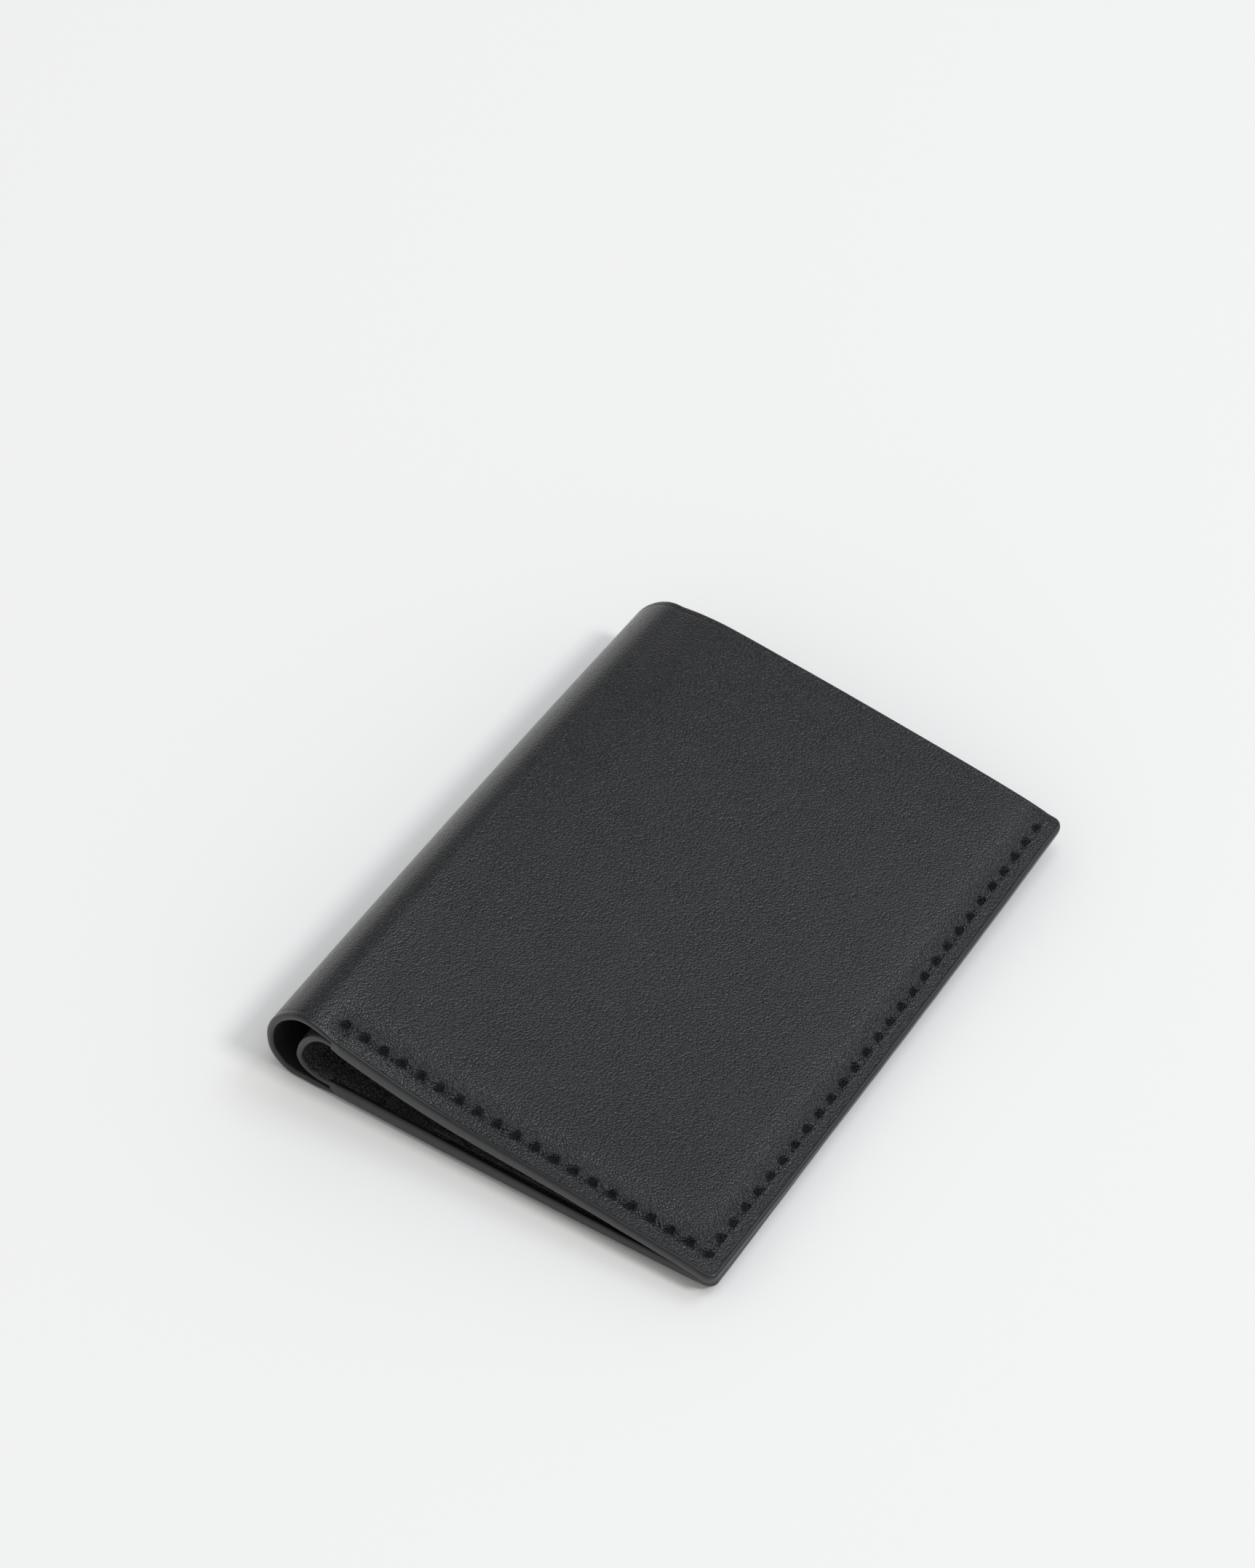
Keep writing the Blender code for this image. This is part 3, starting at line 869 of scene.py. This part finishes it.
def innerPocketRim():
    look = pocket["inner"]
    wide, narrow = halfHeight - look["inset"], halfHeight - look["neck"]
    lip, shoulder, end = look["lip"], look["lip"] + look["strip"], look["end"]
    corners = [
        ((lip, -wide), (0, -1)), ((shoulder, -wide), (1, 0)), ((shoulder, -narrow), (0, -1)),
        ((end, -narrow), (1, 0)), ((end, narrow), (0, 1)), ((shoulder, narrow), (1, 0)),
        ((shoulder, wide), (0, 1)), ((lip, wide), (-1, 0)),
    ]
    rim = []
    for (a, out), (b, _) in zip(corners, corners[1:] + corners[:1]):
        steps = max(1, round(math.dist(a, b) / pocket["edgeStep"]))
        for i in range(steps):
            rim.append(((a[0] + (b[0] - a[0]) * i / steps, a[1] + (b[1] - a[1]) * i / steps), out))
    return rim


def outerPocketRim():
    look = pocket["outer"]
    wide, corner, step = halfHeight - look["inset"], look["corner"], pocket["edgeStep"]
    rim = [((u, -wide), (0.0, -1.0)) for u in spread(look["lip"], look["end"] - corner, step)]
    rim += openEnd(look["end"], -wide, wide, corner, look["cornerSteps"], step)
    rim += [((u, wide), (0.0, 1.0)) for u in spread(look["end"] - corner, look["lip"], step)[1:]]
    return rim + [((look["lip"], v), (-1.0, 0.0)) for v in spread(wide, -wide, step)[1:-1]]


def lipLine(u, lip):
    # the line pressed beside a pocket's opening
    return pocket["lineDepth"] * hump(u - lip - pocket["lineFromLip"], pocket["lineWidth"])


def pocketInner(lip, end, half, keep):
    columns = [lip + d for d in pocket["lipColumns"]]
    columns += spread(lip + pocket["rest"], end - 0.5, pocket["step"])
    rows = spread(-half + 0.5, half - 0.5, pocket["step"])
    return [(u, v) for u in columns for v in rows if keep(u, v)]


def outerPocketUpper(u, v):
    # it steps down on to the liner towards the seam
    look = pocket["outer"]
    down = fade(u, *look["step"])
    first, last = look["stepEnds"]
    ends = fade(abs(v), halfHeight - first, halfHeight - last) * fade(u, *look["endsFrom"])
    swell = look["swell"] * noise.noise(Vector((u / look["swellU"], v / look["swellV"], look["swellSlice"])))
    level = look["upper"] + (look["low"] - look["upper"]) * max(down, ends)
    return level + swell * (1 - down) * (1 - ends)


def makePockets(side):
    look, shape = pocket["inner"], pocket["outer"]
    wide, narrow = halfHeight - look["inset"], halfHeight - look["neck"]
    shoulder, high = look["lip"] + look["strip"], halfHeight - shape["inset"]
    finishes = [innerLeather, edgePaint, innerLeather]

    def inPanel(u, v):
        return abs(v) < (wide if u < shoulder else narrow) - 0.4 and abs(u - shoulder) > 0.3

    def offCorners(u, v):
        return u < shape["end"] - shape["cornerGap"] or abs(v) < high - shape["cornerGap"]

    def place(u, v, depth):
        return coverPoint(side, u, v, depth)

    inner = sheetPiece(
        f"{side}_inner_pocket", innerPocketRim(), pocketInner(look["lip"], look["end"], wide, inPanel),
        place, lambda u, v: look["upper"],
        lambda u, v: look["upper"] + look["thick"] - lipLine(u, look["lip"]),
        pocket["bulge"], finishes, pocket["rings"])
    outer = sheetPiece(
        f"{side}_outer_pocket", outerPocketRim(), pocketInner(shape["lip"], shape["end"], high, offCorners),
        place, outerPocketUpper,
        lambda u, v: outerPocketUpper(u, v) + shape["thick"] - lipLine(u, shape["lip"]),
        pocket["bulge"], finishes, pocket["rings"])
    for piece, node in ((inner, "inner_card_pocket"), (outer, "outer_card_pocket")):
        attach(piece, f"{side}_cover")
        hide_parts(f"{side}_{node}")


for side in ("back", "front"):
    makePockets(side)
print("card pockets made")


# Stitches

stitch = {
    "needle": 0.36, "bobbin": 0.40, "length": 0.94, "twists": 2.2, "needleSink": 0.85, "bobbinSink": 0.4,
    "topDrop": 0.26, "topSpan": (0.5, 3.0), "archPoints": 12, "handle": 0.72, "lift": 0.25,
    "plyPoints": 7, "plyRadius": 0.29, "plyAside": 0.22,
}


def makeStitchTree():
    tree = bpy.data.node_groups.new("stitches", "GeometryNodeTree")
    face = tree.interface
    face.new_socket("Geometry", in_out="INPUT", socket_type="NodeSocketGeometry")
    for name, value in (("Length", 3.0), ("Thread", 0.5), ("Sink", 0.6), ("Twists", 2.0)):
        face.new_socket(name, in_out="INPUT", socket_type="NodeSocketFloat").default_value = value
    face.new_socket("Finish", in_out="INPUT", socket_type="NodeSocketMaterial")
    face.new_socket("Geometry", in_out="OUTPUT", socket_type="NodeSocketGeometry")

    def add(kind, settings=None, inputs=None):
        return addNode(tree, kind, settings, inputs)

    def maths(operation, a, b=0.0):
        return add("ShaderNodeMath", {"operation": operation}, {0: a, 1: b}).outputs[0]

    def vector(x, y, z):
        return add("ShaderNodeCombineXYZ", None, {"X": x, "Y": y, "Z": z}).outputs[0]

    asked = add("NodeGroupInput")
    length, thread, sink = (asked.outputs[name] for name in ("Length", "Thread", "Sink"))
    halfLength, below = maths("MULTIPLY", length, 0.5), maths("MULTIPLY", sink, -1.0)
    lift = maths("MULTIPLY", sink, stitch["lift"])
    # the thread: an arch from hole to hole
    arch = add("GeometryNodeCurvePrimitiveBezierSegment", None, {
        "Resolution": stitch["archPoints"],
        "Start": vector(maths("MULTIPLY", halfLength, -1.0), 0.0, below),
        "Start Handle": vector(maths("MULTIPLY", halfLength, -stitch["handle"]), 0.0, lift),
        "End Handle": vector(maths("MULTIPLY", halfLength, stitch["handle"]), 0.0, lift),
        "End": vector(halfLength, 0.0, below)})
    along = add("GeometryNodeSplineParameter").outputs["Factor"]
    tilt = maths("MULTIPLY", maths("MULTIPLY", along, 2 * math.pi), asked.outputs["Twists"])
    twisted = add("GeometryNodeSetCurveTilt", None, {"Curve": arch.outputs[0], "Tilt": tilt})
    # two plies side by side, which the tilt winds round each other
    ply = add("GeometryNodeCurvePrimitiveCircle", None, {
        "Resolution": stitch["plyPoints"], "Radius": maths("MULTIPLY", thread, stitch["plyRadius"])})
    plies = add("GeometryNodeJoinGeometry")
    for aside in (-stitch["plyAside"], stitch["plyAside"]):
        moved = add("GeometryNodeTransform", None, {
            "Geometry": ply.outputs[0], "Translation": vector(maths("MULTIPLY", thread, aside), 0.0, 0.0)})
        tree.links.new(moved.outputs[0], plies.inputs[0])
    body = add("GeometryNodeCurveToMesh", None, {
        "Curve": twisted.outputs[0], "Profile Curve": plies.outputs[0], "Fill Caps": True})
    # one at each point, turned along the seam and away from the leather
    directions = []
    for name in ("along", "away"):
        directions.append(add(
            "GeometryNodeInputNamedAttribute", {"data_type": "FLOAT_VECTOR"}, {"Name": name}))
    facing = add("FunctionNodeAlignRotationToVector", {"axis": "X"}, {"Vector": directions[0].outputs[0]})
    upright = add("FunctionNodeAlignRotationToVector", {"axis": "Z", "pivot_axis": "X"}, {
        "Rotation": facing.outputs[0], "Vector": directions[1].outputs[0]})
    points = add("GeometryNodeMeshToPoints", None, {"Mesh": asked.outputs["Geometry"]})
    placed = add("GeometryNodeInstanceOnPoints", None, {
        "Points": points.outputs[0], "Instance": body.outputs[0], "Rotation": upright.outputs[0]})
    real = add("GeometryNodeRealizeInstances", None, {"Geometry": placed.outputs[0]})
    smooth = add("GeometryNodeSetShadeSmooth", None, {"Geometry": real.outputs[0]})
    painted = add("GeometryNodeSetMaterial", None, {
        "Geometry": smooth.outputs[0], "Material": asked.outputs["Finish"]})
    add("NodeGroupOutput", None, {0: painted.outputs[0]})
    return tree


stitchTree = makeStitchTree()


def stitchPlaces():
    # middles of the stitches in u and v, each with its direction
    # the column has one more, which runs on to the top end
    row, column = range(seam["rowStitches"]), range(seam["columnStitches"] + 1)
    places = [(seam["start"] + (i + 0.5) * rowPitch, seamV, (1.0, 0.0)) for i in row]
    return places + [(seamU, seamV + (i + 0.5) * columnPitch, (0.0, 1.0)) for i in column]


def makeStitches(name, side, thread, depthAt, inwards, sink):
    # points along the seam that carry a direction, then one stitch on each
    centres, along, away = [], [], []
    for u, v, (du, dv) in stitchPlaces():
        depth = depthAt(u, v)
        centre = coverPoint(side, u, v, depth)
        ahead = coverPoint(side, u + du, v + dv, depth) - coverPoint(side, u - du, v - dv, depth)
        outside = coverPoint(side, u, v, depth - 1) - centre
        centres.append(centre)
        along.append(ahead.normalized())
        away.append(outside.normalized() * (-1.0 if inwards else 1.0))
    mesh = bpy.data.meshes.new(name)
    mesh.from_pydata(centres, [], [])
    for label, values in (("along", along), ("away", away)):
        stored = mesh.attributes.new(label, "FLOAT_VECTOR", "POINT")
        stored.data.foreach_set("vector", [c for vector in values for c in vector])
    carrier = bpy.data.objects.new(name + "_points", mesh)
    bpy.context.scene.collection.objects.link(carrier)
    grown = carrier.modifiers.new("stitches", "NODES")
    grown.node_group = stitchTree
    wanted = {
        "Length": rowPitch * stitch["length"] * mm, "Thread": thread * mm, "Sink": sink * mm,
        "Twists": stitch["twists"], "Finish": waxedThread,
    }
    for item in stitchTree.interface.items_tree:
        if item.in_out == "INPUT" and item.name in wanted:
            grown[item.identifier] = wanted[item.name]
    bpy.context.view_layer.update()
    graph = bpy.context.evaluated_depsgraph_get()
    result = bpy.data.meshes.new_from_object(carrier.evaluated_get(graph))
    bpy.data.objects.remove(carrier)
    result.name = name
    piece = bpy.data.objects.new(name, result)
    bpy.context.scene.collection.objects.link(piece)
    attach(piece, f"{side}_cover")
    return piece


def needleDepth(u, v):
    # the last stitch of the column stays high, at the top end
    last, before = stitch["topSpan"]
    return relief["margin"] + stitch["topDrop"] * fade(v, halfHeight - last, halfHeight - before)


def bobbinDepth(u, v):
    # on whichever sheet is innermost at this place along the seam
    depth = linerLower(u, v)
    inner, outer = pocket["inner"], pocket["outer"]
    if u > outer["lip"]:
        return max(depth, outerPocketUpper(u, v) + outer["thick"])
    if u > inner["lip"]:
        return max(depth, inner["upper"] + inner["thick"])
    return depth


for side in ("back", "front"):
    for kind, depthAt, inwards in (("needle", needleDepth, False), ("bobbin", bobbinDepth, True)):
        stitches = makeStitches(
            f"{side}_{kind}_stitches", side, stitch[kind], depthAt, inwards, stitch[kind + "Sink"])
        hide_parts(f"{side}_{kind}_thread")
print("stitches made")


# Stiffening boards between the leather and its lining

board = {
    "start": 6.0, "inset": 5.5, "corner": 1.8, "cornerSteps": 4, "upper": 1.02, "thick": 0.26,
    "edgeStep": 2.0, "margin": 1.5, "step": 2.5, "bulge": 0.05, "rings": 3,
}


def boardRim():
    high, right = halfHeight - board["inset"], reach - board["inset"]
    corner, step = board["corner"], board["edgeStep"]
    rim = [((u, -high), (0.0, -1.0)) for u in spread(board["start"], right - corner, step)]
    rim += openEnd(right, -high, high, corner, board["cornerSteps"], step)
    rim += [((u, high), (0.0, 1.0)) for u in spread(right - corner, board["start"], step)[1:]]
    return rim + [((board["start"], v), (-1.0, 0.0)) for v in spread(high, -high, step)[1:-1]]


for side in ("back", "front"):
    gap, far = board["margin"], halfHeight - board["inset"] - board["margin"]
    inner = [
        (u, v)
        for u in spread(board["start"] + gap, reach - board["inset"] - gap, board["step"])
        for v in spread(-far, far, board["step"])
    ]
    stiffener = sheetPiece(
        f"{side}_board", boardRim(), inner,
        lambda u, v, depth: coverPoint(side, u, v, depth),
        lambda u, v: board["upper"], lambda u, v: board["upper"] + board["thick"],
        board["bulge"], [greyBoard, greyBoard, greyBoard], board["rings"])
    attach(stiffener, f"{side}_cover")
    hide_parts(f"{side}_stiffener_board")
print("boards made")


# Floor, light and camera

studio = {
    "zenith": 0.30, "horizon": 0.62, "sky": (1.012, 1.0, 0.985, 1.0),
    "floorSize": 6.0, "floorBelow": 0.00002, "paper": (0.86, 0.86, 0.86, 1),
    # softboxes: direction, size, distance, power, tint
    "key": ((0.633, 0.057, 0.772), 1.1, 5.0, 86.0, (1.0, 1.0, 1.0)),
    "fill": ((0.05, -0.02, 1.0), 2.4, 5.5, 46.0, (1.0, 1.0, 1.0)),
    "side": ((0.34, 0.45, 0.82), 2.4, 5.5, 46.0, (0.90, 1.0, 1.10)),
}
view = {
    "azimuth": 33.1, "elevation": 49.1, "distance": 0.70, "target": (-0.01684, 0.01354, 0.0159),
    "lens": 104.06, "sensor": 36.0, "nearest": 0.01,
}


def makeFloor():
    bpy.ops.mesh.primitive_plane_add(size=studio["floorSize"], location=(0, 0, -studio["floorBelow"]))
    floor = bpy.context.object
    floor.name = "floor"
    paper = Finish("palePaper", {
        "Base Color": studio["paper"], "Roughness": 0.9, "Specular IOR Level": 0.2})
    floor.data.materials.append(paper.material)


def makeLight():
    # a pale surround that is brighter towards the horizon, and three softboxes
    world = bpy.data.worlds.new("studio")
    world.use_nodes = True
    tree = world.node_tree
    sky = tree.nodes["Background"]
    sky.inputs["Color"].default_value = studio["sky"]
    around = addNode(tree, "ShaderNodeTexCoord").outputs["Generated"]
    parts = addNode(tree, "ShaderNodeSeparateXYZ", None, {0: around})
    # from level to straight up
    level = studio["zenith"] + studio["horizon"]
    ramp = addNode(tree, "ShaderNodeMapRange", None, {
        "Value": parts.outputs["Z"], "To Min": level, "To Max": studio["zenith"]})
    tree.links.new(ramp.outputs[0], sky.inputs["Strength"])
    bpy.context.scene.world = world
    for name in ("key", "fill", "side"):
        light = bpy.data.lights.new(name, "AREA")
        light.shape = "DISK"
        direction, light.size, distance, light.energy, light.color = studio[name]
        lamp = bpy.data.objects.new(name, light)
        towards = Vector(direction).normalized()
        lamp.location = towards * distance
        lamp.rotation_euler = towards.to_track_quat("Z", "Y").to_euler()
        bpy.context.scene.collection.objects.link(lamp)


def makeCamera():
    azimuth, elevation = math.radians(view["azimuth"]), math.radians(view["elevation"])
    flat = math.cos(elevation)
    towards = Vector((-math.sin(azimuth) * flat, math.cos(azimuth) * flat, -math.sin(elevation)))
    lens = bpy.data.cameras.new("camera")
    lens.lens = view["lens"]
    lens.sensor_width = view["sensor"]
    lens.clip_start = view["nearest"]
    camera = bpy.data.objects.new("camera", lens)
    camera.location = Vector(view["target"]) - towards * view["distance"]
    camera.rotation_euler = towards.to_track_quat("-Z", "Y").to_euler()
    bpy.context.scene.collection.objects.link(camera)
    bpy.context.scene.camera = camera


makeFloor()
makeLight()
makeCamera()
bpy.context.scene.view_settings.view_transform = "Standard"
print("floor, light and camera made")
